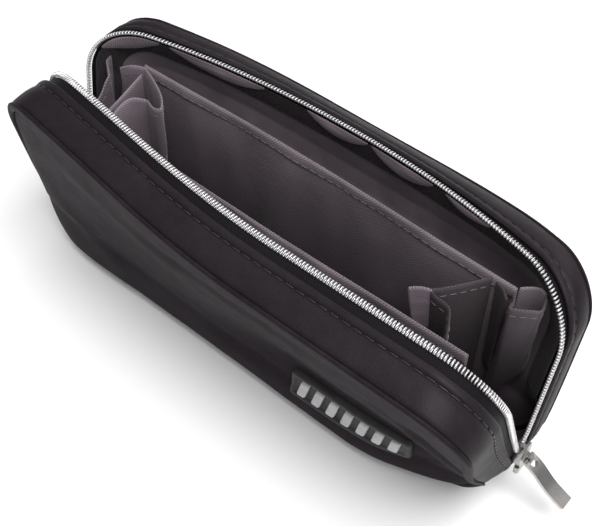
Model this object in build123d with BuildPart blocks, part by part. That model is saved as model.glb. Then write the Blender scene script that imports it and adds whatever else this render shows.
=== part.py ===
from build123d import *
import os
from math import sin, cos, tan, radians, sqrt

os.makedirs("parts", exist_ok=True)

# ---------------------------------------------------------------- dimensions (mm)
# A soft zip pencil case, standing open.  X runs along its length, Y across its
# depth (front face towards -Y), Z up, origin on the resting surface under the
# middle of the bottom.
L = 206.0            # overall length of the leather shell
ZH = 26.0            # height of both zip ends, and of the line the walls fold about
H = 65.5             # wall height from the fold line to the top of the gusset band
W = 21.0             # half depth, zip plane to outer face
R_TOP = 23.5         # top corner radius of the closed case
R_BOT = 26.0         # bottom corner radius
T_FRONT = 20.0       # lean of the front wall as it stands open (degrees)
T_BACK = 34.0        # lean of the back wall
T_LEATHER = 1.4      # leather with its backing
T_LINING = 0.6       # woven lining
W_EDGE = 5.5         # folded leather edge beside the zip, measured from the zip plane
V_FACE_F = -3.5      # lower edge of the front face on the front wall
V_FACE_B = 1.5       # lower edge of the back face on the back wall
Z_FACE_F = 11.5      # upper edge of the fixed lower front face
Z_FACE_B = 12.5      # upper edge of the fixed lower back face
V_ZIP = 12.5         # where coil and tape start above the slider
COIL_W = 2.2         # width of one half of the coil
COIL_T = 2.0         # thickness of the coil
PIPE_R = 0.9         # half thickness of the turned seam
DIV_Y = 14.2         # distance of each inner divider from the middle
DIV_T = 0.8
DIV_TOP = 78.0       # top hem of the dividers
DIV_BOT = 3.2
SL_X0, SL_X1 = 101.3, 104.8     # slider body, inner and outer face
SL_HALF = 3.6        # half width of the slider
SL_Z0, SL_Z1 = 21.0, 30.5
PIN_X, PIN_Z = 106.15, 25.3     # puller pivot
TAB_L = 19.6         # puller length from its pivot
TAB_W = 5.4
TAB_T = 1.3
TAB_DROP = 35.0      # puller stands this far below level (degrees)


def wall_plane(tilt, back):
    """Plane of a wall: local x along the case, y up the wall, z outward."""
    s, c = sin(radians(tilt)), cos(radians(tilt))
    if back:
        return Plane(origin=(0, 0, ZH), x_dir=(-1, 0, 0), z_dir=(0, c, -s))
    return Plane(origin=(0, 0, ZH), x_dir=(1, 0, 0), z_dir=(0, -c, -s))


FRONT = wall_plane(T_FRONT, False)
BACK = wall_plane(T_BACK, True)


def finish(builder, label):
    builder.part.label = label
    export_step(builder.part, f"parts/{label}.step")


def arch(inset, v0, v1=H):
    """Arch-shaped area of a wall: straight bottom, two rounded top corners."""
    top = v1 - inset
    half = L / 2 - inset
    with Locations((0, (v0 + top) / 2)):
        Rectangle(2 * half, top - v0)


def band(plane, name, w0, w1, inset_out, inset_in, v0, slider_side=0):
    """Strip that follows the arch, open at the bottom.

    slider_side is the sign of local x at the slider, where zip strips stop short.
    """
    with BuildPart() as b:
        with BuildSketch(plane.offset(w0)):
            with BuildSketch(mode=Mode.PRIVATE) as outer:
                arch(inset_out, v0)
                fillet([p for p in outer.vertices() if p.Y > v0 + 1], R_TOP - inset_out)
            with BuildSketch(mode=Mode.PRIVATE) as inner:
                arch(inset_in, v0 - 5)
                fillet([p for p in inner.vertices() if p.Y > v0 + 1], R_TOP - inset_in)
            add(outer.sketch)
            add(inner.sketch, mode=Mode.SUBTRACT)
            if slider_side:
                with Locations((slider_side * L / 2, 0)):
                    Rectangle(30, 2 * V_ZIP, mode=Mode.SUBTRACT)
        extrude(amount=w1 - w0)
    finish(b, name)
    return b


def face(plane, name, w0, w1, inset, v0):
    """Flat panel with the arch outline."""
    with BuildPart() as b:
        with BuildSketch(plane.offset(w0)):
            with BuildSketch(mode=Mode.PRIVATE) as outer:
                arch(inset, v0)
                fillet([p for p in outer.vertices() if p.Y > v0 + 1], R_TOP - inset)
            add(outer.sketch)
        extrude(amount=w1 - w0)
    finish(b, name)
    return b


# ================================================================ front and back walls
front_face_upper = face(FRONT, "front_face_upper", W - T_LEATHER, W, 2.2, V_FACE_F)
back_face_upper = face(BACK, "back_face_upper", W - T_LEATHER, W, 2.2, V_FACE_B)

front_gusset_band = band(FRONT, "front_gusset_band", W_EDGE, W - T_LEATHER - 0.05, 0.0, T_LEATHER, 0.8)
back_gusset_band = band(BACK, "back_gusset_band", W_EDGE, W - T_LEATHER - 0.05, 0.0, T_LEATHER, 2.0)

# turned seam that joins face and gusset band
front_seam_welt = band(FRONT, "front_seam_welt", W - T_LEATHER, W + 0.6, -0.4, 2.1, 0.8)
back_seam_welt = band(BACK, "back_seam_welt", W - T_LEATHER, W + 0.6, -0.4, 2.1, 2.0)

# zip tape, sewn under the folded leather edge
front_zip_tape = band(FRONT, "front_zip_tape", 2.7, 9.5, T_LEATHER + 0.05, T_LEATHER + 0.6, 1.0, 1)
back_zip_tape = band(BACK, "back_zip_tape", 2.7, 9.5, T_LEATHER + 0.05, T_LEATHER + 0.6, 2.0, -1)

# coil halves
front_zip_coil = band(FRONT, "front_zip_coil", 0.4, 0.4 + COIL_W, 0.2, 0.2 + COIL_T, 1.0, 1)
back_zip_coil = band(BACK, "back_zip_coil", 0.4, 0.4 + COIL_W, 0.2, 0.2 + COIL_T, 1.0, -1)


def lining_tray(plane, name, v0):
    """Inner lining of one wall: a shallow tray just inside the leather."""
    a, b_ = 2.15, 2.15 + T_LINING
    with BuildPart() as b:
        with BuildSketch(plane.offset(W_EDGE)):
            with BuildSketch(mode=Mode.PRIVATE) as outer:
                arch(a, v0)
                fillet([p for p in outer.vertices() if p.Y > v0 + 1], R_TOP - a)
            add(outer.sketch)
        extrude(amount=17.6 - W_EDGE)
        with BuildSketch(plane.offset(W_EDGE - 1)):
            with BuildSketch(mode=Mode.PRIVATE) as inner:
                arch(b_, v0 - 5)
                fillet([p for p in inner.vertices() if p.Y > v0 + 1], R_TOP - b_)
            add(inner.sketch)
        extrude(amount=17.0 - W_EDGE + 1, mode=Mode.SUBTRACT)
    finish(b, name)
    return b


front_lining = lining_tray(FRONT, "front_lining", 1.0)
back_lining = lining_tray(BACK, "back_lining", 4.5)

# rubber badge with raised plain bars
BADGE_U, BADGE_V = 49.0, 2.3
BADGE_L, BADGE_H = 47.0, 13.6
with BuildPart() as badge_base:
    with BuildSketch(FRONT.offset(W + 0.02)):
        with Locations((BADGE_U, BADGE_V)):
            RectangleRounded(BADGE_L, BADGE_H, 1.6)
    extrude(amount=1.0)
    with BuildSketch(FRONT.offset(W + 1.02)):
        with Locations((BADGE_U, BADGE_V)):
            RectangleRounded(BADGE_L, BADGE_H, 1.6)
            RectangleRounded(BADGE_L - 2.4, BADGE_H - 2.4, 0.9, mode=Mode.SUBTRACT)
    extrude(amount=0.8)
finish(badge_base, "badge_base")

with BuildPart() as badge_marks:
    with BuildSketch(FRONT.offset(W + 1.03)):
        with Locations((BADGE_U, BADGE_V)):
            with GridLocations(5.4, 0, 7, 1):
                SlotOverall(6.4, 2.2, rotation=72)
    extrude(amount=1.0)
finish(badge_marks, "badge_marks")

# ================================================================ base
half = L / 2


def tub_ring(name, inset_out, inset_in, y_half, z_peak, z_notch):
    """Bottom strip that turns up at both ends, cut to a gable under the zip."""
    with BuildPart() as b:
        with BuildSketch(Plane.XZ.offset(-y_half)):
            with BuildSketch(mode=Mode.PRIVATE) as outer:
                with Locations((0, (inset_out + ZH + 8) / 2)):
                    Rectangle(L - 2 * inset_out, ZH + 8 - inset_out)
                fillet([p for p in outer.vertices() if p.Y < ZH], R_BOT - inset_out)
            with BuildSketch(mode=Mode.PRIVATE) as inner:
                with Locations((0, (inset_in + ZH + 18) / 2)):
                    Rectangle(L - 2 * inset_in, ZH + 18 - inset_in)
                fillet([p for p in inner.vertices() if p.Y < ZH], R_BOT - inset_in)
            add(outer.sketch)
            add(inner.sketch, mode=Mode.SUBTRACT)
        extrude(amount=2 * y_half)
        # gable: the walls swing over these edges when they open wider
        with BuildSketch(Plane.YZ.offset(-half - 5)):
            with BuildLine():
                Polyline((-30, 11.0), (-14.8, 11.0), (-14.8, z_peak - 14.8 * 0.49),
                         (-4.6, z_peak - 4.6 * 0.49), (-4.6, z_notch), (4.6, z_notch),
                         (4.6, z_peak - 4.6 * 0.84), (30, z_peak - 30 * 0.84),
                         (30, 60), (-30, 60), close=True)
            make_face()
        extrude(amount=L + 10, mode=Mode.SUBTRACT)
    finish(b, name)
    return b


bottom_gusset = tub_ring("bottom_gusset", 0.0, T_LEATHER, W - T_LEATHER - 0.05, ZH - 1.0, SL_Z0 - 0.6)
bottom_lining = tub_ring("bottom_lining", 2.0, 2.0 + T_LINING, 17.0, ZH - 2.6, SL_Z0 - 1.6)


def low_face(name, y0, y1, z_top):
    """Lower part of a face, below the fold."""
    with BuildPart() as b:
        with BuildSketch(Plane.XZ.offset(-y1)):
            with BuildSketch(mode=Mode.PRIVATE) as outer:
                with Locations((0, (2.2 + 60) / 2)):
                    Rectangle(L - 4.4, 60 - 2.2)
                fillet([p for p in outer.vertices() if p.Y < ZH], R_BOT - 2.2)
                with Locations((0, z_top + 50)):
                    Rectangle(L + 20, 100, mode=Mode.SUBTRACT)
            add(outer.sketch)
        extrude(amount=y1 - y0)
    finish(b, name)
    return b


front_face_lower = low_face("front_face_lower", -W, -W + T_LEATHER, Z_FACE_F)
back_face_lower = low_face("back_face_lower", W - T_LEATHER, W, Z_FACE_B)


def low_welt(name, y0, y1, z_top):
    """Turned seam round the lower edge of a face."""
    with BuildPart() as b:
        with BuildSketch(Plane.XZ.offset(-y1)):
            with BuildSketch(mode=Mode.PRIVATE) as outer:
                with Locations((0, 30)):
                    Rectangle(L, 60)
                fillet([p for p in outer.vertices() if p.Y < ZH], R_BOT)
                with Locations((0, z_top + 50)):
                    Rectangle(L + 20, 100, mode=Mode.SUBTRACT)
            with BuildSketch(mode=Mode.PRIVATE) as inner:
                with Locations((0, (2.1 + 90) / 2)):
                    Rectangle(L - 4.2, 90 - 2.1)
                fillet([p for p in inner.vertices() if p.Y < ZH], R_BOT - 2.1)
            add(outer.sketch)
            add(inner.sketch, mode=Mode.SUBTRACT)
        extrude(amount=y1 - y0)
    finish(b, name)
    return b


front_welt_lower = low_welt("front_welt_lower", -W - 0.6, -W + T_LEATHER, Z_FACE_F)
back_welt_lower = low_welt("back_welt_lower", W - T_LEATHER, W + 0.6, Z_FACE_B)

# ---------------------------------------------------------------- inner organiser
DIV_X = 82.0


def divider(name, y):
    with BuildPart() as b:
        with BuildSketch(Plane.XZ.offset(-(y + DIV_T / 2))):
            with Locations((0, (DIV_BOT + DIV_TOP) / 2)):
                Rectangle(2 * DIV_X, DIV_TOP - DIV_BOT)
        extrude(amount=DIV_T)
    finish(b, name)
    return b


front_divider = divider("front_divider", -DIV_Y)
back_divider = divider("back_divider", DIV_Y)


def pleat(name, points, z0, z1, t=0.8):
    """Folded cloth strip standing between the dividers, seen from above."""
    with BuildPart() as b:
        with BuildSketch(Plane.XY.offset(z0)):
            with BuildLine() as path:
                Polyline(*points)
            trace(line_width=t)
        extrude(amount=z1 - z0)
    finish(b, name)
    return b


right_gusset = pleat("right_gusset", [(74, 13.0), (63, -1.5), (71, -5.5), (78, -13.0)], 5.0, DIV_TOP)
left_gusset = pleat("left_gusset", [(-78, 13.0), (-64, 6.0), (-73, -1.0), (-70, -13.0)], 5.0, DIV_TOP)
right_end_pleat = pleat("right_end_pleat", [(83.5, 12.5), (85.5, 4.5), (93.5, 6.5), (92.0, 12.0)], 15.0, DIV_TOP)
left_end_pleat = pleat("left_end_pleat", [(-95.0, 11.0), (-88.5, 6.0), (-92.0, -2.0), (-85.5, -9.0)], 15.0, DIV_TOP)

# ================================================================ zip ends, slider, puller
with BuildPart() as right_zip_stop:
    with BuildSketch(Plane.XY.offset(SL_Z0 - 4.0)):
        with Locations((102.9 + 0.95, 0)):
            RectangleRounded(1.7, 5.6, 0.5)
    extrude(amount=3.2)
finish(right_zip_stop, "right_zip_stop")

with BuildPart() as left_zip_stop:
    with BuildSketch(Plane.XY.offset(SL_Z0 - 4.0)):
        with Locations((-(102.9 + 0.95), 0)):
            RectangleRounded(1.7, 5.6, 0.5)
    extrude(amount=3.2)
finish(left_zip_stop, "left_zip_stop")

# slider: two plates held apart by a nose, with the coil channel between them
with BuildPart() as slider_body:
    with BuildSketch(Plane.YZ.offset(SL_X0)) as plate:
        with BuildLine():
            Polyline((-2.3, SL_Z0), (2.3, SL_Z0), (SL_HALF, SL_Z1 - 3.5), (2.6, SL_Z1),
                     (-2.6, SL_Z1), (-SL_HALF, SL_Z1 - 3.5), close=True)
        make_face()
    extrude(amount=SL_X1 - SL_X0)
    fillet(slider_body.edges().filter_by(Axis.X), 0.6)
    with BuildSketch(Plane.YZ.offset(SL_X0 + 0.8)):
        with Locations((0, (SL_Z0 + SL_Z1) / 2 - 3)):
            Rectangle(3.0, 12)
        with Locations((-1.9, SL_Z1), (1.9, SL_Z1)):
            Rectangle(2.2, 9)
    extrude(amount=SL_X1 - SL_X0 - 1.6, mode=Mode.SUBTRACT)
finish(slider_body, "slider_body")

with BuildPart() as slider_bridge:
    with BuildSketch(Plane.XZ.offset(-0.8)):
        with Locations((SL_X1 + 1.4, PIN_Z)):
            RectangleRounded(2.8, 4.8, 0.9)
        with Locations((SL_X1 + 0.25, PIN_Z)):
            Rectangle(0.5, 4.8)
        with Locations((PIN_X, PIN_Z)):
            RectangleRounded(1.75, 2.7, 0.6, mode=Mode.SUBTRACT)
    extrude(amount=1.6)
finish(slider_bridge, "slider_bridge")

# puller: a flat bar, slightly waved, whose cross bar runs through the bridge
a = radians(TAB_DROP)
TAB = Plane(origin=(PIN_X, 0, PIN_Z), x_dir=(cos(a), 0, -sin(a)), z_dir=(sin(a), 0, cos(a)))
with BuildPart() as pull_tab:
    with BuildSketch(Plane(origin=TAB.origin - TAB.y_dir * (TAB_W / 2), x_dir=TAB.x_dir, z_dir=TAB.y_dir)):
        h = TAB_T / 2
        with BuildLine():
            Spline((0.4, -h), (5.5, -h - 0.35), (11.5, -h + 0.45), (16.0, -h + 0.1), (TAB_L, -h - 0.5))
            Line((TAB_L, -h - 0.5), (TAB_L, h - 0.5))
            Spline((TAB_L, h - 0.5), (16.0, h + 0.1), (11.5, h + 0.45), (5.5, h - 0.35), (0.4, h))
            Line((0.4, h), (0.4, -h))
        make_face()
    extrude(amount=TAB_W)
    with BuildSketch(TAB.offset(-3)):
        with BuildLine():
            Polyline((0.55, -1.35), (2.4, -1.35), (3.6, 0), (2.4, 1.35), (0.55, 1.35), close=True)
        make_face()
    extrude(amount=6, mode=Mode.SUBTRACT)
    with BuildSketch(Plane(origin=TAB.origin - TAB.y_dir * (TAB_W / 2), x_dir=TAB.x_dir, z_dir=TAB.y_dir)):
        Circle(0.6)
    extrude(amount=TAB_W)
finish(pull_tab, "pull_tab")

print("nodes written:", len(os.listdir("parts")))
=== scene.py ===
import math
import bpy
import bmesh
import numpy as np
from mathutils import Matrix, Vector


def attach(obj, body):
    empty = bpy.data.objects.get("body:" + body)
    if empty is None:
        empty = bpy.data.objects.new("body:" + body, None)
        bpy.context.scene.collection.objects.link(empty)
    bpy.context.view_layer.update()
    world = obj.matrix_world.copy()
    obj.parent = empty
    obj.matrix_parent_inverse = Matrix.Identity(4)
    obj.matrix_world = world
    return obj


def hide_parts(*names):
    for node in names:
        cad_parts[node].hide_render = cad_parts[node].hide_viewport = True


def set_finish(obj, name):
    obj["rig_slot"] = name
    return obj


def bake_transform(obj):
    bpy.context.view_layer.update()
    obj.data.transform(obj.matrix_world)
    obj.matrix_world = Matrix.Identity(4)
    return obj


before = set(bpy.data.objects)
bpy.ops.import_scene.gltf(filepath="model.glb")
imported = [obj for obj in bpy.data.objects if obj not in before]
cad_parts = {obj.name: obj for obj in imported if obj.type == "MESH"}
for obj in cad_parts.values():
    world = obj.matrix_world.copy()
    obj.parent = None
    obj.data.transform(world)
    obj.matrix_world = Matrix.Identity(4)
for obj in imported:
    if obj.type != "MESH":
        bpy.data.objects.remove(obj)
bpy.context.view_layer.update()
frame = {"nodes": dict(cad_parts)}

MM = 0.001
rng = np.random.default_rng(7)

# ------------------------------------------------------------------ shape of the case, mm
HL, ZH, HT = 102.9, 26.0, 65.7          # half length, fold height, wall height above it
TOP = ZH + HT
RT0, RT1 = 23.5, 18.6                   # top corner radius at the zip and at the seam
RB = 26.0
SEAM = {-1: 19.7, 1: 18.9}              # depth of the seam from the zip plane
LEAN = {-1: 20.3, 1: 35.2}              # lean of the walls
XF, KF, XB = 20.0, 216.0, 171.7         # how the lean fades towards the ends
ZB = {-1: 26.0, 1: 24.0}                # height where the lower and upper fields meet
HB = {-1: 23.0, 1: 22.0}


def S(x):
    x = np.clip(x, 0, 1)
    return x * x * (3 - 2 * x)


def ramp(x, a, b):
    return S((x - a) / (b - a))


def field_u(side, u):
    if side < 0:
        return 1 - np.clip((XF - u) / KF, 0, None)
    return 1 - np.abs(u) / XB


def lean(side, u, zc):
    return np.radians(LEAN[side]) * S(field_u(side, u) + np.minimum((zc - 34) / 30.0, 0))


def place(side, u, zc, w):
    """Point of the standing open case from its place in the closed one."""
    u, zc, w = np.broadcast_arrays(np.asarray(u, float), np.asarray(zc, float), np.asarray(w, float))
    low = 1 - ramp(zc, 12, 52)
    k = 1 - 0.24 * ramp(u, 58, 104) * low - 0.04 * ramp(-u, 76, 104) * low
    if side > 0:
        k = 1 - 0.5 * (1 - k)
        k = k * (1 - 0.20 * ramp(-u, 20, 98) * ramp(zc, 30, 75)) * (1 - 0.15 * ramp(u, 66, 102))
    else:
        k = k * (1 + 0.05 * ramp(-u, 40, 100))
    k = k * (1 - 0.12 * (1 - ramp(zc, 0, 9)))           # the bottom seams lie a little under the case
    lift = 8.0 * ramp(u, 42, 104) * (1 - ramp(zc, 4, 64)) * np.clip(w / 20, 0, 1)
    if side > 0:
        lift = lift * 0.5
    w, zc = w * k, zc + lift
    end = ramp(-u, 55, 103) * ramp(zc, 24, 80)
    u, zc = u - 2.2 * end, zc - (3.2 if side < 0 else 0.6) * end
    if side < 0:
        u = u - 2.4 * ramp(u, 78, 104) * ramp(w, 3.5, 15) * (1 - ramp(zc, 45, 80))
    te = lean(side, u, zc)
    v = zc - ZH
    y = w * np.cos(te) + np.maximum(v, 0) * np.sin(te)
    z = ZH - w * np.sin(te) + np.where(v > 0, v * np.cos(te), v)
    return np.stack([u + 0 * y, side * y, z], -1)


def top_radius(w):
    return RT0 + (RT1 - RT0) * np.clip(np.abs(w) / 19.7, 0, 1)


NV, NC, NT, NBC, NBT = 34, 34, 120, 26, 90


def outline(w, arch_only=False, dense=1):
    """Outline of the case at depth w: points (u, z) and outward normals, from the
    right end up, over the top, down the left end and, for the whole loop, back under."""
    r = float(top_radius(w))
    segs = []

    def straight(a, b, n, nrm):
        t = np.linspace(0, 1, n * dense, endpoint=False)[:, None]
        segs.append((np.array(a) * (1 - t) + np.array(b) * t, np.tile(nrm, (len(t), 1))))

    def corner(c, rad, a0, a1, n):
        a = np.radians(np.linspace(a0, a1, n * dense, endpoint=False))
        nn = np.stack([np.cos(a), np.sin(a)], 1)
        segs.append((np.array(c) + rad * nn, nn))

    straight((HL, ZH), (HL, TOP - r), NV, (1, 0))
    corner((HL - r, TOP - r), r, 0, 90, NC)
    straight((HL - r, TOP), (-HL + r, TOP), NT, (0, 1))
    corner((-HL + r, TOP - r), r, 90, 180, NC)
    straight((-HL, TOP - r), (-HL, ZH), NV, (-1, 0))
    if arch_only:
        segs.append((np.array([[-HL, ZH]]), np.array([[-1.0, 0]])))
    else:
        corner((-HL + RB, RB), RB, 180, 270, NBC)
        straight((-HL + RB, 0), (HL - RB, 0), NBT, (0, -1))
        corner((HL - RB, RB), RB, 270, 360, NBC)
    return np.concatenate([s[0] for s in segs]), np.concatenate([s[1] for s in segs])


def arc(points, closed=False):
    d = np.linalg.norm(np.diff(points, axis=0), axis=1)
    return np.concatenate([[0], np.cumsum(d)])


MID = outline(4.0, True)
ARCH_LEN = arc(MID[0])[-1]


def along(w, s):
    """Outline point and normal at arc length s of the arch at depth w."""
    p, n = outline(w, True)
    t = arc(p)
    s = np.asarray(s, float) * t[-1] / ARCH_LEN
    q = np.stack([np.interp(s, t, p[:, i]) for i in range(2)], -1)
    m = np.stack([np.interp(s, t, n[:, i]) for i in range(2)], -1)
    return q, m / np.linalg.norm(m, axis=-1, keepdims=True)


def inside(u, zc, r_top=RT1, r_bot=RB):
    """Distance from the outline, positive inside."""
    r = np.where(zc > TOP / 2, r_top, r_bot)
    hx, hz = HL, TOP / 2
    qx, qz = np.abs(u) - hx + r, np.abs(zc - TOP / 2) - hz + r
    return -(np.hypot(np.maximum(qx, 0), np.maximum(qz, 0)) + np.minimum(np.maximum(qx, qz), 0) - r)


# ------------------------------------------------------------------ mesh helpers
def build(name, verts, faces, mat, slot=None, uvs=None, recalc=True, sharp=None):
    me = bpy.data.meshes.new(name)
    verts = np.asarray(verts, float) * MM
    if isinstance(faces, np.ndarray):
        faces = faces.tolist()
    me.from_pydata(verts.tolist(), [], faces)
    if uvs is not None:
        layer = me.uv_layers.new(name="UVMap")
        layer.data.foreach_set("uv", np.asarray(uvs, np.float32).ravel())
    if recalc:
        bm = bmesh.new()
        bm.from_mesh(me)
        bmesh.ops.recalc_face_normals(bm, faces=bm.faces)
        bm.to_mesh(me)
        bm.free()
    me.polygons.foreach_set("use_smooth", [True] * len(me.polygons))
    if sharp:
        me.set_sharp_from_angle(angle=math.radians(sharp))
    if mat:
        me.materials.append(mat)
    me.update()
    ob = bpy.data.objects.new(name, me)
    bpy.context.scene.collection.objects.link(ob)
    if slot:
        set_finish(ob, slot)
    return ob


def quads(n, m, closed_n=False, closed_m=False):
    i = np.arange(n if closed_n else n - 1)
    j = np.arange(m if closed_m else m - 1)
    I, J = np.meshgrid(i, j, indexing="ij")
    I2, J2 = (I + 1) % n, (J + 1) % m
    f = np.stack([I * m + J, I2 * m + J, I2 * m + J2, I * m + J2], -1).reshape(-1, 4)
    c = np.stack([np.stack([I, J], -1), np.stack([I + 1, J], -1), np.stack([I + 1, J + 1], -1),
                  np.stack([I, J + 1], -1)], -2).reshape(-1, 4, 2)
    return f, c


def sweep(name, P, mat, slot, closed_s=True, s_len=None, p_len=None, sharp=None):
    """Closed tube: P is (stations, section points, 3); the section is a closed polygon."""
    n, m, _ = P.shape
    f, c = quads(n, m, closed_s, True)
    d = np.linalg.norm(np.diff(P[:, 0], axis=0), axis=1)
    s = np.concatenate([[0], np.cumsum(d), [d.sum() + np.linalg.norm(P[0, 0] - P[-1, 0])]])
    e = np.linalg.norm(np.diff(np.concatenate([P[:1], P[:1, :1]], 1), axis=1), axis=2)[0]
    p = np.concatenate([[0], np.cumsum(e)])
    uv = np.stack([s[c[..., 0]], p[c[..., 1]]], -1) / 10
    faces = f.tolist()
    uvs = uv.reshape(-1, 2).tolist()
    if not closed_s:
        faces += [list(range(m)), [(n - 1) * m + k for k in range(m)]]
        for st in (0, n - 1):
            uvs += [[s[st] / 10, p[k] / 10] for k in range(m)]
    return build(name, P.reshape(-1, 3), faces, mat, slot, uvs, sharp=sharp)


def normals_of(P):
    a = np.gradient(P, axis=0)
    b = np.gradient(P, axis=1)
    n = np.cross(a, b)
    return n / np.maximum(np.linalg.norm(n, axis=-1, keepdims=True), 1e-9)


def slab(name, P, t, mat, slot, uv=None, flip=False, sharp=50, round_edge=True):
    """Closed sheet of thickness t on the grid P (n, m, 3), with a rounded rim."""
    n, m, _ = P.shape
    N = normals_of(P) * (-1 if flip else 1)
    A, B = P + N * t / 2, P - N * t / 2
    fa, ca = quads(n, m)
    fb = fa[:, ::-1] + n * m
    cb = ca[:, ::-1]
    rim = [(i, 0) for i in range(n)] + [(n - 1, j) for j in range(1, m)] + \
          [(i, m - 1) for i in range(n - 2, -1, -1)] + [(0, j) for j in range(m - 2, 0, -1)]
    idx = np.array([i * m + j for i, j in rim])
    V = [A.reshape(-1, 3), B.reshape(-1, 3)]
    side = []
    if round_edge:
        C = P.reshape(-1, 3)[idx]
        near = {0: 1, n - 1: n - 2}
        out = []
        for (i, j) in rim:
            ii = 1 if i == 0 else (n - 2 if i == n - 1 else i)
            jj = 1 if j == 0 else (m - 2 if j == m - 1 else j)
            d = P[i, j] - P[ii, jj]
            out.append(d / max(np.linalg.norm(d), 1e-9))
        V.append(C + np.array(out) * t * 0.45)
        k = 2 * n * m + np.arange(len(idx))
        kn = np.roll(k, -1)
        a, an = idx, np.roll(idx, -1)
        side = [np.stack([an, a, k, kn], 1), np.stack([kn, k, a + n * m, an + n * m], 1)]
    else:
        a, an = idx, np.roll(idx, -1)
        side = [np.stack([an, a, a + n * m, an + n * m], 1)]
    faces = np.concatenate([fa, fb] + side)
    if uv is None:
        s0 = np.concatenate([np.zeros((1, m)), np.cumsum(np.linalg.norm(np.diff(P, axis=0), axis=2), 0)])
        s1 = np.concatenate([np.zeros((n, 1)), np.cumsum(np.linalg.norm(np.diff(P, axis=1), axis=2), 1)], 1)
        uv = np.stack([s0, s1], -1) / 10
    flat = uv.reshape(-1, 2)
    allu = np.concatenate([flat, flat] + ([flat[idx]] if round_edge else []))
    uvs = allu[faces.ravel()]
    return build(name, np.concatenate(V), faces, mat, slot, uvs, sharp=sharp)


def capsules(name, centres, dirs, ups, length, ra, rb, mat, slot, seg=8, rings=3):
    """Many small rounded bars: stitches."""
    a = np.linspace(0, 2 * np.pi, seg, endpoint=False)
    prof = []
    for k in range(rings + 1):
        t = k / rings * np.pi / 2
        prof.append((-length / 2 + ra * (1 - np.sin(t)), np.cos(t) if k == 0 else np.sin(t)))
    prof = [(-length / 2, 0.25), (-length / 2 + ra * 0.3, 0.75), (-length / 2 + ra, 1.0),
            (length / 2 - ra, 1.0), (length / 2 - ra * 0.3, 0.75), (length / 2, 0.25)]
    V, F = [], []
    for c, d, u in zip(centres, dirs, ups):
        d = d / np.linalg.norm(d)
        u = u - d * (u @ d)
        u = u / np.linalg.norm(u)
        x = np.cross(d, u)
        base = len(V)
        for (l, r) in prof:
            for t in a:
                V.append(c + d * l + x * (ra * r * math.cos(t)) + u * (rb * r * math.sin(t)))
        m = len(prof)
        for i in range(m - 1):
            for j in range(seg):
                j2 = (j + 1) % seg
                F.append([base + i * seg + j, base + i * seg + j2, base + (i + 1) * seg + j2, base + (i + 1) * seg + j])
        F.append([base + j for j in range(seg)][::-1])
        F.append([base + (m - 1) * seg + j for j in range(seg)])
    return build(name, V, F, mat, slot, None, recalc=False)


# ------------------------------------------------------------------ cutting the pieces where the bending fields change, and attaching parts to the walls
def field(side, left, low):
    """Linear field g.x + c, in metres, whose smooth step is the share of the wall's motion."""
    g = np.zeros(3)
    if side < 0:
        c = 1.0
        if left:
            g[0], c = 1 / KF, 1 - XF / KF
    else:
        g[0], c = (1 / XB if left else -1 / XB), 1.0
    if low:
        g[2] = 1 / HB[side]
        c -= ZB[side] / HB[side]
    g2 = g @ g
    if g2 == 0:
        return None
    s = -c * g / g2
    return s * MM, (s + g / g2) * MM


def part_out(me, keep, name, normals):
    """New mesh from some faces of me, with the whole mesh's normals."""
    nv = len(me.vertices)
    co = np.empty(nv * 3); me.vertices.foreach_get("co", co); co = co.reshape(-1, 3)
    starts = np.empty(len(me.polygons), int); me.polygons.foreach_get("loop_start", starts)
    tot = np.empty(len(me.polygons), int); me.polygons.foreach_get("loop_total", tot)
    lv = np.empty(len(me.loops), int); me.loops.foreach_get("vertex_index", lv)
    uv = None
    if me.uv_layers:
        uv = np.empty(len(me.loops) * 2, np.float32); me.uv_layers[0].data.foreach_get("uv", uv); uv = uv.reshape(-1, 2)
    loops = np.concatenate([np.arange(starts[k], starts[k] + tot[k]) for k in keep])
    used, inv = np.unique(lv[loops], return_inverse=True)
    faces, p = [], 0
    for k in keep:
        faces.append(inv[p:p + tot[k]].tolist())
        p += tot[k]
    new = bpy.data.meshes.new(name)
    new.from_pydata(co[used].tolist(), [], faces)
    if uv is not None:
        new.uv_layers.new(name="UVMap").data.foreach_set("uv", uv[loops].ravel())
    new.polygons.foreach_set("use_smooth", [True] * len(new.polygons))
    for mt in me.materials:
        new.materials.append(mt)
    new.update()
    if normals is not None:
        new.normals_split_custom_set(normals[loops].tolist())
    return new


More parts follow.
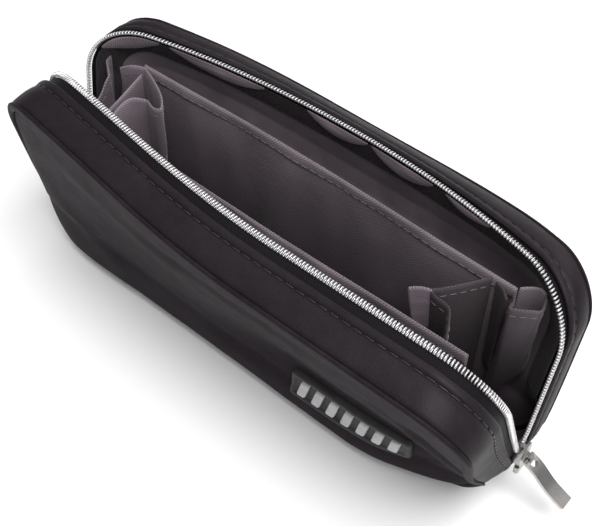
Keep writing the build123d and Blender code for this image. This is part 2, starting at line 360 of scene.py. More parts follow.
def follow(ob, side, islands=None, cut=True):
    """Cuts the piece at the planes where the bending fields change; a part with no field goes with
    its wall, the others stay where they are. islands: centre of each face's island, to keep it whole."""
    wall = "front_wall" if side < 0 else "back_wall"
    x0, z0 = (XF if side < 0 else 0.0), ZB[side]
    me = ob.data
    if cut:
        bm = bmesh.new()
        bm.from_mesh(me)
        for co, no in (((x0 * MM, 0, 0), (1, 0, 0)), ((0, 0, z0 * MM), (0, 0, 1))):
            bmesh.ops.bisect_plane(bm, geom=bm.verts[:] + bm.edges[:] + bm.faces[:], dist=1e-7,
                                   plane_co=co, plane_no=no)
        bm.to_mesh(me)
        bm.free()
        me.update()
    me.polygons.foreach_set("use_smooth", [True] * len(me.polygons))
    nrm = np.array([c.vector[:] for c in me.corner_normals])
    cen = np.empty(len(me.polygons) * 3); me.polygons.foreach_get("center", cen); cen = cen.reshape(-1, 3) / MM
    if islands is not None:
        cen = islands(cen)
    left, low = cen[:, 0] < x0, cen[:, 2] < z0
    made = []
    for nl, tag_l in ((True, "left"), (False, "right")):
        for lw, tag_v in ((False, "upper"), (True, "lower")):
            keep = np.nonzero((left == nl) & (low == lw))[0]
            if not len(keep):
                continue
            piece = bpy.data.objects.new(f"{ob.name}_{tag_l}_{tag_v}", part_out(me, keep, f"{ob.name}_{tag_l}_{tag_v}", nrm))
            bpy.context.scene.collection.objects.link(piece)
            if "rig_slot" in ob:
                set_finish(piece, ob["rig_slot"])
            fe = field(side, nl, lw)
            if fe is None:
                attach(piece, wall)
            else:
                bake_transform(piece)
            made.append(piece)
    bpy.data.objects.remove(ob, do_unlink=True)
    return made


# ------------------------------------------------------------------ materials
class Nodes:
    def __init__(self, name):
        self.mat = bpy.data.materials.new(name)
        self.mat.use_nodes = True
        self.t = self.mat.node_tree
        self.b = self.t.nodes["Principled BSDF"]

    def new(self, kind, **kw):
        n = self.t.nodes.new(kind)
        for k, v in kw.items():
            setattr(n, k, v)
        return n

    def link(self, a, b):
        self.t.links.new(a, b)

    def coords(self, uv=False, scale=(1, 1, 1)):
        c = self.new("ShaderNodeTexCoord")
        m = self.new("ShaderNodeMapping")
        m.inputs["Scale"].default_value = scale
        self.link(c.outputs["UV" if uv else "Object"], m.inputs["Vector"])
        return m.outputs["Vector"]

    def noise(self, vec, scale, detail=3, rough=0.5):
        n = self.new("ShaderNodeTexNoise")
        n.inputs["Scale"].default_value = scale
        n.inputs["Detail"].default_value = detail
        n.inputs["Roughness"].default_value = rough
        self.link(vec, n.inputs["Vector"])
        return n.outputs["Fac"]

    def ramp(self, fac, stops):
        r = self.new("ShaderNodeValToRGB")
        e = r.color_ramp.elements
        while len(e) < len(stops):
            e.new(0.5)
        for k, (p, c) in enumerate(stops):
            e[k].position = p
            e[k].color = (*c, 1) if len(c) == 3 else c
        self.link(fac, r.inputs["Fac"])
        return r.outputs["Color"]

    def math(self, op, a, b=None, c=None):
        n = self.new("ShaderNodeMath", operation=op)
        for k, x in enumerate((a, b, c)):
            if x is None:
                continue
            if isinstance(x, (int, float)):
                n.inputs[k].default_value = x
            else:
                self.link(x, n.inputs[k])
        return n.outputs[0]

    def maprange(self, v, a, b, c, d):
        n = self.new("ShaderNodeMapRange")
        for k, x in zip(("From Min", "From Max", "To Min", "To Max"), (a, b, c, d)):
            n.inputs[k].default_value = x
        self.link(v, n.inputs["Value"])
        return n.outputs["Result"]

    def bump(self, h, strength, dist, prev=None):
        n = self.new("ShaderNodeBump")
        n.inputs["Strength"].default_value = strength
        n.inputs["Distance"].default_value = dist
        self.link(h, n.inputs["Height"])
        if prev is not None:
            self.link(prev, n.inputs["Normal"])
        return n.outputs["Normal"]


def leather(name, dark=(0.0095, 0.0066, 0.0088), light=(0.0190, 0.0136, 0.0178), rough=(0.42, 0.56), grain=1.0, spec=0.14):
    m = Nodes(name)
    vec = m.coords()
    v = m.new("ShaderNodeTexVoronoi", feature="DISTANCE_TO_EDGE")
    v.inputs["Scale"].default_value = 1150
    m.link(vec, v.inputs["Vector"])
    v2 = m.new("ShaderNodeTexVoronoi", feature="F1")
    v2.inputs["Scale"].default_value = 2100
    m.link(vec, v2.inputs["Vector"])
    fine = m.noise(vec, 3800, 4, 0.6)
    wide = m.noise(vec, 42, 4, 0.55)
    cloud = m.noise(vec, 220, 3, 0.5)
    peb = m.maprange(v.outputs["Distance"], 0.0, 0.16, 0, 1)
    col = m.ramp(m.math("ADD", m.math("MULTIPLY", wide, 0.6), m.math("MULTIPLY", cloud, 0.4)),
                 [(0.30, dark), (0.70, light)])
    mix = m.new("ShaderNodeMix", data_type="RGBA")
    mix.blend_type = "MULTIPLY"
    mix.inputs[0].default_value = 0.55
    m.link(col, mix.inputs[6])
    m.link(m.ramp(peb, [(0.0, (0.45, 0.45, 0.45)), (0.8, (1, 1, 1))]), mix.inputs[7])
    m.link(mix.outputs[2], m.b.inputs["Base Color"])
    m.link(m.maprange(m.math("ADD", m.math("MULTIPLY", cloud, 0.6), m.math("MULTIPLY", fine, 0.4)), 0.3, 0.7, rough[0], rough[1]),
           m.b.inputs["Roughness"])
    n1 = m.bump(wide, 0.25, 0.0006)
    n2 = m.bump(peb, 0.16 * grain, 0.00012, n1)
    n3 = m.bump(v2.outputs["Distance"], 0.10 * grain, 0.00008, n2)
    n4 = m.bump(fine, 0.12 * grain, 0.00006, n3)
    m.link(n4, m.b.inputs["Normal"])
    m.b.inputs["Specular IOR Level"].default_value = spec
    m.b.inputs["Sheen Weight"].default_value = 0.0
    return m.mat


def woven(name, dark, light, pitch=0.62, rough=0.62, sheen=0.35, strength=0.5, twill=True, spec=0.35, deep=False):
    """Woven cloth on UVs that are in centimetres."""
    m = Nodes(name)
    uv = m.coords(uv=True)
    k = 10.0 / pitch / 1.0
    sep = m.new("ShaderNodeSeparateXYZ")
    m.link(uv, sep.inputs[0])
    wob = m.noise(uv, 2.5, 3, 0.5)
    x = m.math("ADD", sep.outputs[0], m.math("MULTIPLY", wob, 0.03))
    y = m.math("ADD", sep.outputs[1], m.math("MULTIPLY", wob, 0.03))
    sx = m.math("SINE", m.math("MULTIPLY", x, k * 2 * math.pi))
    sy = m.math("SINE", m.math("MULTIPLY", y, k * 2 * math.pi))
    weave = m.math("MULTIPLY", sx, sy)
    if twill:
        tw = m.math("SINE", m.math("MULTIPLY", m.math("ADD", x, y), k * math.pi))
        weave = m.math("ADD", m.math("MULTIPLY", weave, 0.62), m.math("MULTIPLY", tw, 0.38))
    h = m.maprange(weave, -1, 1, 0, 1)
    ob = m.coords()
    wide = m.noise(ob, 60, 3, 0.5)
    fibre = m.noise(ob, 5200, 3, 0.6)
    base = m.ramp(m.math("ADD", m.math("MULTIPLY", h, 0.55), m.math("ADD", m.math("MULTIPLY", wide, 0.25), m.math("MULTIPLY", fibre, 0.2))),
                  [(0.22, dark), (0.78, light)])
    if deep:                                          # painted shade: the cloth is darkened towards the bottom of the case, where the walls shade it
        zz = m.new("ShaderNodeSeparateXYZ")
        m.link(ob, zz.inputs[0])
        painted_shade_mix = m.new("ShaderNodeMix", data_type="RGBA")
        painted_shade_mix.blend_type = "MULTIPLY"
        painted_shade_mix.inputs[0].default_value = 1.0
        m.link(base, painted_shade_mix.inputs[6])
        m.link(m.ramp(m.maprange(zz.outputs[2], 0.030, 0.078, 0, 1), [(0.0, (0.22, 0.20, 0.21)), (0.55, (0.55, 0.53, 0.54)), (1.0, (1, 1, 1))]), painted_shade_mix.inputs[7])
        base = painted_shade_mix.outputs[2]
    m.link(base, m.b.inputs["Base Color"])
    m.link(m.maprange(h, 0, 1, rough + 0.12, rough - 0.06), m.b.inputs["Roughness"])
    n1 = m.bump(wide, 0.15, 0.0008)
    n2 = m.bump(h, strength, 0.00012, n1)
    n3 = m.bump(fibre, 0.12, 0.00005, n2)
    m.link(n3, m.b.inputs["Normal"])
    m.b.inputs["Sheen Weight"].default_value = sheen
    m.b.inputs["Sheen Roughness"].default_value = 0.35
    m.b.inputs["Specular IOR Level"].default_value = spec
    return m.mat


def metal(name, colour=(0.86, 0.845, 0.83), rough=(0.16, 0.30), metallic=1.0, grain=0.05):
    m = Nodes(name)
    vec = m.coords()
    a = m.noise(vec, 160, 3, 0.5)
    b = m.noise(vec, 2600, 3, 0.6)
    m.link(m.ramp(a, [(0.3, tuple(c * 0.90 for c in colour)), (0.7, colour)]), m.b.inputs["Base Color"])
    m.b.inputs["Metallic"].default_value = metallic
    m.link(m.maprange(m.math("ADD", m.math("MULTIPLY", a, 0.5), m.math("MULTIPLY", b, 0.5)), 0.35, 0.65, rough[0], rough[1]),
           m.b.inputs["Roughness"])
    m.link(m.bump(b, grain, 0.00003), m.b.inputs["Normal"])
    return m.mat


def rubber(name, dark, light, rough=0.5, grain=0.1):
    m = Nodes(name)
    vec = m.coords()
    a = m.noise(vec, 300, 3, 0.5)
    b = m.noise(vec, 3200, 3, 0.6)
    m.link(m.ramp(a, [(0.3, dark), (0.7, light)]), m.b.inputs["Base Color"])
    m.link(m.maprange(b, 0.3, 0.7, rough - 0.06, rough + 0.08), m.b.inputs["Roughness"])
    m.link(m.bump(b, grain, 0.00004), m.b.inputs["Normal"])
    return m.mat


M_LEATHER = leather("leather_black")
# painted light: the face, welt and bottom strip wear a lighter, less glossy copy of the black leather, its tone set to
# how the light falls on the face
M_LEATHER_FACE_LIT = leather("leather_face", dark=(0.0120, 0.0087, 0.0113), light=(0.0270, 0.0197, 0.0254), rough=(0.46, 0.60), spec=0.05)
M_THREAD = woven("thread_black", (0.004, 0.0035, 0.004), (0.018, 0.016, 0.018), pitch=0.4, rough=0.5, sheen=0.1, strength=0.3, twill=False)
# painted shade: deep=True darkens this lining and its two copies below towards the bottom of the case
M_LINING = woven("lining_grey", (0.066, 0.053, 0.063), (0.340, 0.282, 0.322), pitch=0.56, rough=0.55, sheen=0.16, strength=0.5, deep=True)
# painted shade: darker copies of the grey lining, standing in for the shade at the right end of the case
M_LINING_PAINTED_SHADE = woven("lining_dim", (0.020, 0.016, 0.018), (0.085, 0.069, 0.078), pitch=0.56, rough=0.6, sheen=0.05, strength=0.5, deep=True)
M_LINING_PAINTED_HALF_SHADE = woven("lining_mid", (0.034, 0.027, 0.032), (0.150, 0.124, 0.142), pitch=0.56, rough=0.55, sheen=0.10, strength=0.5, deep=True)
M_HEM = woven("lining_thread", (0.05, 0.042, 0.048), (0.16, 0.14, 0.155), pitch=0.4, rough=0.5, sheen=0.2, strength=0.3, twill=False)
M_TAPE = woven("tape_black", (0.0030, 0.0025, 0.0030), (0.014, 0.012, 0.014), pitch=0.6, rough=0.5, sheen=0.03, strength=0.7, twill=False, spec=0.06)
# painted light: a lighter copy of the black tape, raised so that its ribs show speckled highlights; the rib relief
# itself is real geometry
M_RIB_PAINTED_LIGHT = woven("tape_ribbed", (0.004, 0.0034, 0.004), (0.060, 0.052, 0.058), pitch=0.9, rough=0.42, sheen=0.08, strength=0.9, twill=False, spec=0.3)
M_COIL = metal("coil_silver", (0.66, 0.65, 0.66), (0.24, 0.36), 0.6)
M_METAL = metal("slider_metal", (0.40, 0.385, 0.37), (0.26, 0.34), 1.0, 0.012)
M_PULL = metal("puller_metal", (0.50, 0.48, 0.465), (0.26, 0.32), 1.0, 0.012)
M_BADGE = rubber("badge_rubber", (0.010, 0.009, 0.010), (0.017, 0.015, 0.017), 0.46, 0.10)
M_MARK = rubber("badge_marks", (0.42, 0.41, 0.42), (0.52, 0.51, 0.52), 0.45, 0.08)

# ------------------------------------------------------------------ leather
def noise2(u, z, seed, scale):
    """Smooth made-up unevenness from a few waves."""
    r = np.random.default_rng(seed)
    out = 0
    for _ in range(7):
        a, b, c = r.normal(size=2) / scale, r.uniform(0, 6.28), r.uniform(0.5, 1)
        out = out + c * np.sin(a[0] * u * 2.2 + a[1] * z * 2.2 + b)
    return out / 4.5


def line_bump(u, z, p, q, width, height, soft=10):
    """A soft ridge or groove along the segment p-q."""
    p, q = np.array(p, float), np.array(q, float)
    d = q - p
    L = np.hypot(*d)
    t = ((u - p[0]) * d[0] + (z - p[1]) * d[1]) / L
    off = (-(u - p[0]) * d[1] + (z - p[1]) * d[0]) / L
    fade = ramp(t, -soft, soft) * (1 - ramp(t, L - soft, L + soft))
    return height * np.exp(-(off / width) ** 2) * fade


def face_w(side, u, zc):
    """Depth of the face's outer surface."""
    d = inside(u, zc)
    base = SEAM[side] - 0.9
    edge = 1 - np.exp(-np.maximum(d, 0) / 5.0)
    low = np.exp(-((zc - 24) / 22.0) ** 2) * np.exp(-((u - 10) / 75.0) ** 2)
    mid = np.exp(-((zc - 55) / 26.0) ** 2)
    if side < 0:
        belly = np.interp(zc, [0, 4, 8, 16, 20, 25, 30, 35, 40, 50, 60, 70, 80, 92],
                          [4.6, 5.9, 6.3, 6.3, 5.9, 5.0, 3.4, 0.8, 0.3, 1.5, 2.5, 2.6, 1.8, 1.2])
        near = ramp(u, -20, 34) * (1 - ramp(u, 84, 102))      # the wall sinks in above the badge
        full = np.interp(zc, [0, 4, 8, 16, 28, 37, 50, 66, 80, 92], [4.6, 5.9, 6.3, 6.3, 5.8, 4.8, 4.0, 3.0, 1.8, 1.2])
        ends = (1 - 0.55 * ramp(u, 50, 104)) * (1 - 0.15 * ramp(-u, 60, 104))
        full = full + (belly - full) * near
        rise = 2.2 + (2.3 - 2.2 * ramp(-u, 40, 96)) * ramp(zc, 20, 56)
        b = full * ends * (1 - np.exp(-np.maximum(d, 0) / rise))
        b = b + 0.35 * noise2(u, zc, 3, 22) * edge + 0.12 * noise2(u, zc, 4, 8) * edge
        b = b + line_bump(u, zc, (-30, 70), (40, 77), 3.2, -0.9, 22)
        b = b + line_bump(u, zc, (-70, 72), (-10, 60), 5.0, 0.6, 18)
        b = b + line_bump(u, zc, (60, 68), (88, 58), 3.0, -0.8)
        b = b + line_bump(u, zc, (74, 62), (97, 38), 2.6, 1.1)
        b = b + line_bump(u, zc, (82, 62), (99, 44), 2.2, -1.2)
        b = b + line_bump(u, zc, (-92, 40), (-60, 18), 7.0, 0.8, 14)
        b = b + line_bump(u, zc, (76, 20), (95, 44), 3.0, -0.7)
    else:
        b = 0.9 * edge + 2.0 * low * edge + 0.9 * mid * edge + 0.4 * noise2(u, zc, 9, 24) * edge
        b = b + line_bump(u, zc, (-60, 40), (50, 34), 6.0, -1.0, 25)
        b = b + line_bump(u, zc, (20, 60), (88, 48), 5.0, 0.8, 20)
    return base + b


def face_grid(side, nu=200, nq=90, inset=0.6, w_of=None, z_lo=0.0, z_hi=TOP):
    q = np.linspace(0, 1, nq)
    q = 0.65 * q + 0.35 * (1 - np.cos(np.pi * q)) / 2
    zc = z_lo + inset + q * (z_hi - z_lo - 2 * inset)
    rt, rb = RT1, RB

    def half(z):
        h = np.full_like(z, HL - inset)
        a = np.clip(z - (TOP - rt), 0, rt - inset)
        h = h - (rt - inset) + np.sqrt(np.maximum((rt - inset) ** 2 - a ** 2, 0))
        a = np.clip(rb - z, 0, rb - inset)
        h = h - (rb - inset) + np.sqrt(np.maximum((rb - inset) ** 2 - a ** 2, 0))
        return h

    p = np.linspace(-1, 1, nu)
    p = 0.8 * p + 0.2 * np.sin(np.pi * p / 2)
    U = p[:, None] * half(zc)[None, :]
    Z = np.broadcast_to(zc[None, :], U.shape)
    W = w_of(U, Z) if w_of else face_w(side, U, Z)
    return U, Z, W


def closed_sheet(name, side, U, Z, W, t, mat, slot):
    A = place(side, U, Z, W)
    B = place(side, U, Z, W - t)
    n, m = U.shape
    fa, ca = quads(n, m)
    rim = [(i, 0) for i in range(n)] + [(n - 1, j) for j in range(1, m)] + \
          [(i, m - 1) for i in range(n - 2, -1, -1)] + [(0, j) for j in range(m - 2, 0, -1)]
    idx = np.array([i * m + j for i, j in rim])
    an = np.roll(idx, -1)
    faces = np.concatenate([fa, fa[:, ::-1] + n * m, np.stack([an, idx, idx + n * m, an + n * m], 1)])
    uv = np.stack([U, Z], -1).reshape(-1, 2) / 10
    uv = np.concatenate([uv, uv])
    return build(name, np.concatenate([A.reshape(-1, 3), B.reshape(-1, 3)]), faces, mat, slot, uv[faces.ravel()], sharp=60)


def ring(side, section, arch_only=False, fade=None):
    """Sweeps a section [(w, outward offset)] round the outline of a wall."""
    rows = []
    for k, (w, h) in enumerate(section):
        p, n = outline(w, arch_only)
        hh = h if fade is None else fade(p, w, h)
        q = p + n * (np.asarray(hh) * np.ones(len(p)))[:, None]
        rows.append(place(side, q[:, 0], q[:, 1], w))
    return np.stack(rows, 1)


def band_section(side):
    s = SEAM[side]
    out = [(s - 0.15, -1.75), (s - 0.05, -1.1), (s - 0.35, -0.5), (s - 0.95, -0.12), (s - 1.9, 0.10), (s - 4.0, 0.32),
           (13.0, 0.42), (11.2, 0.34), (10.0, 0.16), (9.45, -0.06), (9.2, -0.34), (8.95, -0.42), (8.7, -0.34),
           (8.45, -0.04), (7.9, 0.20), (7.2, 0.30), (6.5, 0.24), (5.9, 0.02), (5.5, -0.38), (5.42, -0.8), (5.6, -1.2),
           (6.1, -1.5), (7.5, -1.6), (10.0, -1.6), (13.0, -1.45), (16.0, -1.45), (s - 1.6, -1.8), (s - 0.7, -2.1)]
    return out


def band_fade(p, w, h):
    """Below the slider the folded edge and its stitched groove run out into the plain bottom."""
    k = ramp(p[:, 1], 12, 24)
    low = 0.0 if w > 5.45 else h * 0.4
    if h < -1.15:
        low = h
    rip = 0.10 * noise2(p[:, 0], p[:, 1] + w * 1.7, 5, 9) if h > -0.45 and 9.6 < w < 18.6 else 0
    return h * k + low * (1 - k) + rip


LEATHER_SLOT = "leather_black"
for side, word in ((-1, "front"), (1, "back")):
    U, Z, W = face_grid(side)
    face = closed_sheet(f"{word}_face", side, U, Z, W, 1.4, M_LEATHER_FACE_LIT, LEATHER_SLOT)
    follow(face, side)

    band = sweep(f"{word}_band", ring(side, band_section(side), fade=band_fade), M_LEATHER, LEATHER_SLOT)
    follow(band, side)

    # turned seam: a rounded welt that stands up on the face side of the seam
    s = SEAM[side]
    a = np.linspace(0, 2 * np.pi, 18, endpoint=False)
    sec = [(s + 0.38 + 0.92 * math.cos(t), -1.55 + 1.72 * math.sin(t)) for t in a]
    welt = sweep(f"{word}_welt", ring(side, sec), M_LEATHER_FACE_LIT, LEATHER_SLOT)
    follow(welt, side)

    # topstitching beside the folded edge
    pitch = 4.3
    n = int(ARCH_LEN / pitch) - 1
    sv = 3.0 + pitch * np.arange(n)
    q, m = along(8.95, sv)
    q2, _ = along(8.95, sv + 0.2)
    h = -0.20
    c = place(side, q[:, 0] + m[:, 0] * h, q[:, 1] + m[:, 1] * h, 8.95)
    c2 = place(side, q2[:, 0] + m[:, 0] * h, q2[:, 1] + m[:, 1] * h, 8.95)
    cu = place(side, q[:, 0] + m[:, 0] * (h + 1), q[:, 1] + m[:, 1] * (h + 1), 8.95)
    st = capsules(f"{word}_topstitch", c, c2 - c, cu - c, 3.1, 0.30, 0.24, M_THREAD, LEATHER_SLOT)
    nf = len(st.data.polygons) // n
    follow(st, side, islands=lambda cen, c=c, nf=nf: np.repeat(c, nf, 0), cut=False)

    # zip tape between the folded edge and the coil
    sec = [(2.0, -1.5), (2.4, -1.32), (4.0, -1.28), (6.5, -1.6), (9.5, -1.95), (9.6, -2.3), (6.5, -2.2), (4.0, -1.95), (2.2, -1.9), (1.9, -1.7)]
    tape = sweep(f"{word}_tape", ring(side, sec, True), M_TAPE, "zip_tape_black", closed_s=False)
    follow(tape, side)

# plain strip that closes the case between the two bands, under the slider
sec = [(-5.75, -0.35), (-5.3, -0.06), (-3, 0.0), (0, 0.02), (3, 0.0), (5.3, -0.06), (5.75, -0.35), (5.7, -1.0), (0, -1.3), (-5.7, -1.0)]
rows = []
for w, h in sec:
    p, n = outline(abs(w))
    k0 = 2 * NV + 2 * NC + NT
    p, n = p[k0:], n[k0:]
    p, n = np.concatenate([p, outline(abs(w))[0][:1]]), np.concatenate([n, outline(abs(w))[1][:1]])
    keep = slice(4, -4)
    q = (p + n * h)[keep]
    rows.append(place(1 if w > 0 else -1, q[:, 0], q[:, 1], abs(w)))
strip = sweep("bottom_gusset_strip", np.stack(rows, 1), M_LEATHER_FACE_LIT, LEATHER_SLOT, closed_s=False)
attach(strip, "base")
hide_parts("bottom_gusset")

# ------------------------------------------------------------------ zip coil
def coil(side):
    pitch = 1.22
    word = "front" if side < 0 else "back"
    n = int((ARCH_LEN - 3.0) / pitch)
    s = 1.5 + pitch * np.arange(n) + (0.0 if side < 0 else pitch / 2)
    # wire of one turn: (w, along, height)
    path = [(2.35, 0.14, -0.05), (1.95, 0.13, 0.20), (1.4, 0.10, 0.28), (0.88, 0.05, 0.26), (0.50, 0.0, 0.06),
            (0.38, -0.01, -0.20), (0.55, -0.03, -0.46), (0.95, -0.08, -0.62), (1.5, -0.12, -0.66), (1.95, -0.14, -0.56), (2.35, -0.15, -0.4)]
    R = [0.20, 0.23, 0.24, 0.27, 0.38, 0.42, 0.36, 0.25, 0.23, 0.23, 0.20]
    seg = 7
    C = []
    for (w, ds, h) in path:
        q, m = along(w, s + ds)
        hh = h - 0.45
        C.append(place(side, q[:, 0] + m[:, 0] * hh, q[:, 1] + m[:, 1] * hh, w))
    C = np.stack(C, 1)                                   # (teeth, path, 3)
    T = np.gradient(C, axis=1)
    T /= np.linalg.norm(T, axis=-1, keepdims=True)
    q, m = along(2.0, s)
    q2, _ = along(2.0, s + 0.3)
    tang = place(side, q2[:, 0], q2[:, 1], 2.0) - place(side, q[:, 0], q[:, 1], 2.0)
    tang /= np.linalg.norm(tang, axis=-1, keepdims=True)
    X = tang[:, None, :] - T * (T * tang[:, None, :]).sum(-1, keepdims=True)
    X /= np.linalg.norm(X, axis=-1, keepdims=True)
    Y = np.cross(T, X)
    a = np.linspace(0, 2 * np.pi, seg, endpoint=False)
    r = np.array(R)[None, :, None, None]
    V = C[:, :, None, :] + r * (X[:, :, None, :] * np.cos(a)[None, None, :, None] + Y[:, :, None, :] * np.sin(a)[None, None, :, None])
    k = len(path)
    f, _ = quads(k, seg, False, True)
    F = []
    for i in range(n):
        b = i * k * seg
        F += (f + b).tolist()
        F.append([b + j for j in range(seg)][::-1])
        F.append([b + (k - 1) * seg + j for j in range(seg)])
    ob = build(f"{word}_coil", V.reshape(-1, 3), F, M_COIL, "zip_coil_silver", None, recalc=True)
    nf = len(f) + 2
    cc = C[:, 5]
    return follow(ob, side, islands=lambda cen: np.repeat(cc, nf, 0), cut=False)


coil(-1)
coil(1)

# ------------------------------------------------------------------ lining
def lining_w(side, U, Z):
    """Inner lining: from the coil it runs slanting down to the face, then lies behind the face."""
    d = inside(U, Z, RT0, RB)
    upper = ramp(Z, 30, 50)
    prof = np.interp(d, [0, 2.2, 3.6, 6.0, 10.0, 16.0, 22.0, 200], [2.9, 2.9, 4.4, 6.4, 10.4, 15.6, 17.3, 17.5])
    # soft waves in the lining; the puckers beside the coil are the separate folds made below
    s = U
    puck = 0
    wav = 0.35 * noise2(U, Z, 21, 16) * ramp(d, 10, 24) + 0.25 * noise2(U, Z, 22, 7) * ramp(d, 3, 8)
    flat = np.interp(d, [0, 2.2, 3.2, 200], [14.0, 16.6, 17.4, 17.5])
    W = prof * upper + flat * (1 - upper)
    return W - puck - wav * upper


PUCKERS = {1: [(262, 236, 4.6), (232, 196, 4.2), (178, 152, 3.6), (150, 122, 4.2), (116, 96, 2.2)],
           -1: []}
for side, word in ((-1, "front"), (1, "back")):
    U, Z, _ = face_grid(side, 260, 110, 3.8, w_of=lambda U, Z: U * 0, z_lo=0.0)
    W = lining_w(side, U, Z)
    lin = closed_sheet(f"{word}_lining_cloth", side, U, Z, W, -0.5, M_LINING, "lining_grey")
    follow(lin, side)

    # the ribbed inner edge of the zip tape, sewn down over the lining
    ns = 1100
    s = np.linspace(16, ARCH_LEN - 12, ns)
    dd = np.linspace(2.7, 9.4, 19)
    P = []
    for j, d in enumerate(dd):
        q, m = along(4.0, s)
        x = q - m * d
        w = lining_w(side, x[:, 0], x[:, 1]) - 0.35
        rib = 0.20 * np.sin(2 * np.pi * s / 1.15 + (np.pi if j % 4 < 2 else 0)) if 1 <= j <= 17 else 0
        P.append(place(side, x[:, 0], x[:, 1], w - rib - (0.15 if 1 <= j <= 17 else 0)))
    P = np.stack(P, 1)
    rb = slab(f"{word}_ribbed_tape", P, 0.35, M_RIB_PAINTED_LIGHT, "zip_tape_black", flip=(side > 0), sharp=None)
    follow(rb, side)

    # loose folds of lining that lie over the tape's upper edge
    for kf, (s0, s1, deep) in enumerate(PUCKERS[side]):
        ss = np.linspace(s0, s1, 90)
        tt = np.linspace(0, 1, 16)
        lens = np.clip(np.sin(np.pi * (ss - s0) / (s1 - s0)), 0, 1) ** 0.75
        q, m = along(4.0, ss)
        P = []
        for t in tt:
            d = 2.5 + t * (0.25 + deep * lens)
            x = q - m * d[:, None]
            w = lining_w(side, x[:, 0], x[:, 1]) - 0.75 - 1.5 * lens * math.sin(math.pi * min(t * 0.62 + 0.12, 1)) \
                - 0.25 * noise2(ss, t * 9 + 0 * ss, 60 + kf, 6) * lens
            P.append(place(side, x[:, 0], x[:, 1], w))
        pk = slab(f"{word}_lining_fold_{kf + 1}", np.stack(P, 1), 0.45, M_LINING, "lining_grey", flip=(side > 0))
        follow(pk, side)

# floor and ends of the lining
rows = []
ws = np.linspace(-16.8, 16.8, 23)
for w in ws:
    p, n = outline(min(abs(w), 19), False)
    k0 = 2 * NV + 2 * NC + NT
    P2 = np.concatenate([p[k0:], p[:1]]) - np.concatenate([n[k0:], n[:1]]) * (2.3 + 0.25 * noise2(np.arange(len(p) - k0 + 1) * 2.0, w * 3, 31, 14))[:, None]
    rows.append(place(1 if w > 0 else -1, P2[:, 0], P2[:, 1], abs(w)))
floor_l = slab("bottom_lining_cloth", np.stack(rows, 1), 0.5, M_LINING, "lining_grey")
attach(floor_l, "base")
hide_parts("bottom_lining")

# ------------------------------------------------------------------ organiser
def spline(pts, n):
    """Smooth curve through points, by chord length."""
    pts = np.array(pts, float)
    t = arc(pts)
    m = np.zeros_like(pts)
    m[1:-1] = (pts[2:] - pts[:-2]) / (t[2:] - t[:-2])[:, None]
    m[0] = (pts[1] - pts[0]) / (t[1] - t[0])
    m[-1] = (pts[-1] - pts[-2]) / (t[-1] - t[-2])
    x = np.linspace(0, t[-1], n)
    k = np.clip(np.searchsorted(t, x, "right") - 1, 0, len(t) - 2)
    h = (t[k + 1] - t[k])[:, None]
    a = ((x - t[k]) / (t[k + 1] - t[k]))[:, None]
    return (2 * a ** 3 - 3 * a ** 2 + 1) * pts[k] + (a ** 3 - 2 * a ** 2 + a) * h * m[k] + \
        (-2 * a ** 3 + 3 * a ** 2) * pts[k + 1] + (a ** 3 - a ** 2) * h * m[k + 1]


def cloth(name, top, bottom, n=80, m=46, t=0.7, waves=0.5, seed=1, hem=True, mat=None, smooth_path=True, mids=None):
    """A standing strip of cloth between a top and a bottom line."""
    A = spline(top, n) if smooth_path else np.array([np.interp(np.linspace(0, 1, n), arc(np.array(top, float)) / arc(np.array(top, float))[-1], np.array(top, float)[:, k]) for k in range(3)]).T
    B = spline(bottom, n) if smooth_path else np.array([np.interp(np.linspace(0, 1, n), arc(np.array(bottom, float)) / arc(np.array(bottom, float))[-1], np.array(bottom, float)[:, k]) for k in range(3)]).T
    q = np.linspace(0, 1, m) ** 1.0
    P = A[:, None, :] * (1 - q)[None, :, None] + B[:, None, :] * q[None, :, None]
    if mids is not None:
        P = P + mids(q, np.linspace(0, 1, n))
    N = normals_of(P)
    s = np.linspace(0, arc(A)[-1], n)
    amp = waves * np.sin(np.pi * np.clip(q, 0, 1))[None, :] * noise2(s[:, None], q[None, :] * 60, seed, 12)
    P = P + N * amp[..., None]
    return slab(name, P, t, mat or M_LINING, "lining_grey")


def hem_strip(name, top, down, depth=4.2, n=80, t=1.25, rows=10, smooth_path=True):
    """Folded hem: a slightly thicker strip over the top edge."""
    top = np.array(top, float)
    A = spline(top, n) if smooth_path else top
    q = np.linspace(0, 1, rows)
    D = np.array(down, float)
    P = A[:, None, :] + D[None, None, :] * (q * depth)[None, :, None] + np.array([0, 0, 0.35])
    return slab(name, P, t, M_LINING, "lining_grey")


def stitch_row(name, pts, up, pitch=3.6, length=2.4, r=0.17, mat=None):
    pts = np.array(pts, float)
    t = arc(pts)
    k = int(t[-1] / pitch)
    s = (np.arange(k) + 0.5) * t[-1] / k
    c = np.stack([np.interp(s, t, pts[:, i]) for i in range(3)], -1)
    c2 = np.stack([np.interp(s + 0.2, t, pts[:, i]) for i in range(3)], -1)
    d = c2 - c
    d[np.linalg.norm(d, axis=1) < 1e-6] = (1, 0, 0)
    ups = np.tile(np.array(up, float), (len(c), 1))
    return capsules(name, c, d, ups, length, r, r * 0.8, mat or M_HEM, "lining_grey")


